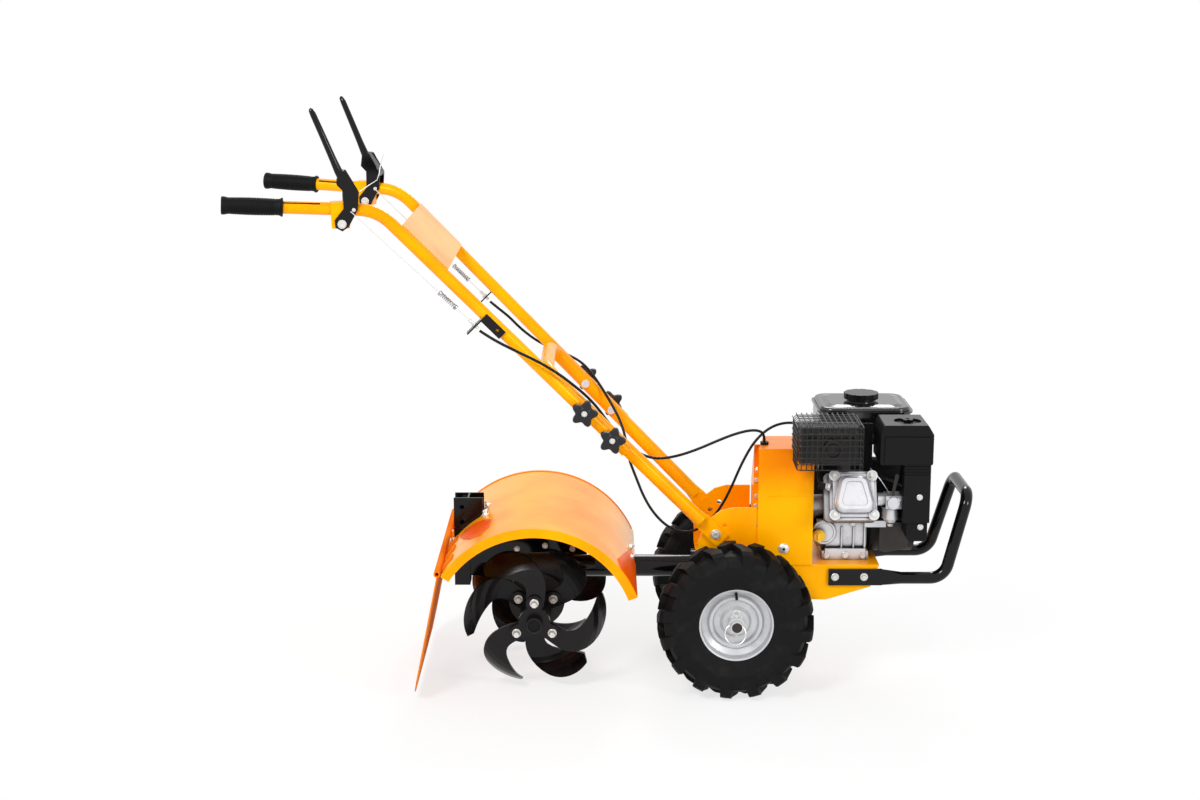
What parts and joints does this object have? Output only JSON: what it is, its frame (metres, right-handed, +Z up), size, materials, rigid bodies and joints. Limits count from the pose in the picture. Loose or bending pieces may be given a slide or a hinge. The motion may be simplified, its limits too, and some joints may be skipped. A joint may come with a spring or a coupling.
{
  "type": "walk-behind hand tractor",
  "caption": "Walk-behind petrol hand tractor with two lugged drive wheels, a rear row of sickle tines under a hood, a hinged flap and two long handles.",
  "frame": {"origin": "on the floor, at the middle of the machine's overall length and width", "axes": "+X forward to the bumper, +Y to the left, +Z up"},
  "size_m": [1.5675, 0.5536, 1.254],
  "materials": {
    "orange_paint": "gloss",
    "black_paint": "gloss",
    "satin_black_steel": "satin",
    "tyre_rubber": "matte",
    "grip_rubber": "matte",
    "rim_silver": "satin",
    "cast_aluminium": "satin",
    "gear_iron": "satin",
    "zinc_steel": "satin",
    "black_plastic": "satin",
    "yellow_plastic": "gloss",
    "cable_sheath": "satin"
  },
  "bodies": {
    "machine": {"air_cleaner": "black_plastic", "air_duct": "black_plastic", "belt_cover": "orange_paint", "bumper": "black_paint", "cable_adjusters": "zinc_steel", "cable_brackets": "black_paint", "cable_grommet": "grip_rubber", "carburettor": "cast_aluminium", "clutch_cable": "cable_sheath", "crankcase": "cast_aluminium", "cylinder": "cast_aluminium", "cylinder_head": "cast_aluminium", "drive_tube": "black_paint", "engine_base": "orange_paint", "fan_shroud": "black_plastic", "flap_hinge": "orange_paint", "fuel_cap": "black_plastic", "fuel_tank": "black_plastic", "grip_left": "grip_rubber", "grip_right": "grip_rubber", "handle_panel": "orange_paint", "handle_plate_left": "orange_paint", "handle_plate_right": "orange_paint", "hinge_pin": "zinc_steel", "hood": "orange_paint", "hood_stay": "orange_paint", "knob_bolts": "zinc_steel", "lever_clamps": "orange_paint", "lever_left": "black_paint", "lever_right": "black_paint", "lower_handle": "orange_paint", "oil_plug": "yellow_plastic", "rear_bracket": "black_paint", "recoil_starter": "black_plastic", "rotor_gearbox": "gear_iron", "silencer": "satin_black_steel", "silencer_guard": "satin_black_steel", "star_knobs": "black_plastic", "tank_support": "black_plastic", "throttle_cable": "cable_sheath", "upper_handle_left": "orange_paint", "upper_handle_right": "orange_paint", "valve_cover": "cast_aluminium", "wheel_gearbox": "gear_iron"},
    "wheels": {"axle": "zinc_steel", "tyre_right": "tyre_rubber", "tyre_left": "tyre_rubber", "rim_right": "rim_silver", "rim_left": "rim_silver", "wheel_pins": "zinc_steel"},
    "rotor": {"inner_tines_left": "satin_black_steel", "inner_tines_right": "satin_black_steel", "outer_tines_left": "satin_black_steel", "outer_tines_right": "satin_black_steel", "rotor_flanges_left": "satin_black_steel", "rotor_flanges_right": "satin_black_steel", "rotor_shaft": "satin_black_steel"},
    "flap": {"rear_flap": "orange_paint"}
  },
  "joints": [
    {"name": "wheels_spin", "type": "hinge", "parent": "machine", "child": "wheels", "pos_m": [0.26375, 0, 0.168], "axis": [0, 1, 0], "continuous": true},
    {"name": "rotor_spin", "type": "hinge", "parent": "machine", "child": "rotor", "pos_m": [-0.16525, 0, 0.163], "axis": [0, 1, 0], "continuous": true},
    {"name": "flap_lift", "type": "hinge", "parent": "machine", "child": "flap", "pos_m": [-0.36605, 0, 0.28957], "axis": [0, 1, 0], "range_deg": [0, 80]}
  ]
}
